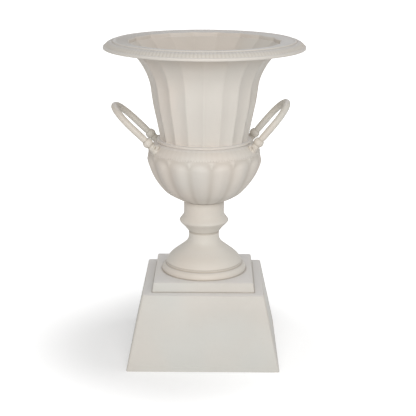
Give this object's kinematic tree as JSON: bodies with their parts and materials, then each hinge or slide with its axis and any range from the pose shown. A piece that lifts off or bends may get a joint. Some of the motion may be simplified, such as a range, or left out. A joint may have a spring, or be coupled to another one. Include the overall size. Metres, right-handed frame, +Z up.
{
  "type": "footed metal urn",
  "caption": "Footed metal urn with a fluted flaring bell, a gadrooned bowl, tilted loop handles and a tapered square pedestal.",
  "frame": {"origin": "on the floor under the centre of the pedestal", "axes": "+Z up along the urn's axis, -Y towards the pictured front, handles on -X and +X"},
  "size_m": [0.46, 0.46, 0.7347],
  "materials": {
    "cream_paint": "satin cream paint over cast metal",
    "zinc_steel": "zinc plated",
    "black_rubber": "matt"
  },
  "bodies": {
    "root": {"pedestal": "cream_paint", "plinth_plate": "cream_paint", "foot_ring": "cream_paint", "foot_dome": "cream_paint", "stem_knop": "cream_paint", "bowl": "cream_paint", "shoulder": "cream_paint", "bead_ring": "cream_paint", "bell": "cream_paint", "rim": "cream_paint", "left_handle": "cream_paint", "right_handle": "cream_paint", "left_front_collar": "cream_paint", "left_front_leaf_socket": "cream_paint", "left_front_handle_washer": "zinc_steel", "left_front_handle_nut": "zinc_steel", "left_back_collar": "cream_paint", "left_back_leaf_socket": "cream_paint", "left_back_handle_washer": "zinc_steel", "left_back_handle_nut": "zinc_steel", "right_front_collar": "cream_paint", "right_front_leaf_socket": "cream_paint", "right_front_handle_washer": "zinc_steel", "right_front_handle_nut": "zinc_steel", "right_back_collar": "cream_paint", "right_back_leaf_socket": "cream_paint", "right_back_handle_washer": "zinc_steel", "right_back_handle_nut": "zinc_steel", "plate_bolt_1": "zinc_steel", "plate_bolt_2": "zinc_steel", "plate_bolt_3": "zinc_steel", "plate_bolt_4": "zinc_steel", "plate_washer_1": "zinc_steel", "plate_washer_2": "zinc_steel", "plate_washer_3": "zinc_steel", "plate_washer_4": "zinc_steel", "neck_screw_1": "zinc_steel", "neck_screw_2": "zinc_steel", "neck_screw_3": "zinc_steel", "neck_screw_4": "zinc_steel", "tie_rod": "zinc_steel", "tie_rod_lower_washer": "zinc_steel", "tie_rod_lower_nut": "zinc_steel", "tie_rod_upper_washer": "zinc_steel", "tie_rod_upper_nut": "zinc_steel", "tie_rod_seal": "black_rubber"}
  },
  "joints": []
}
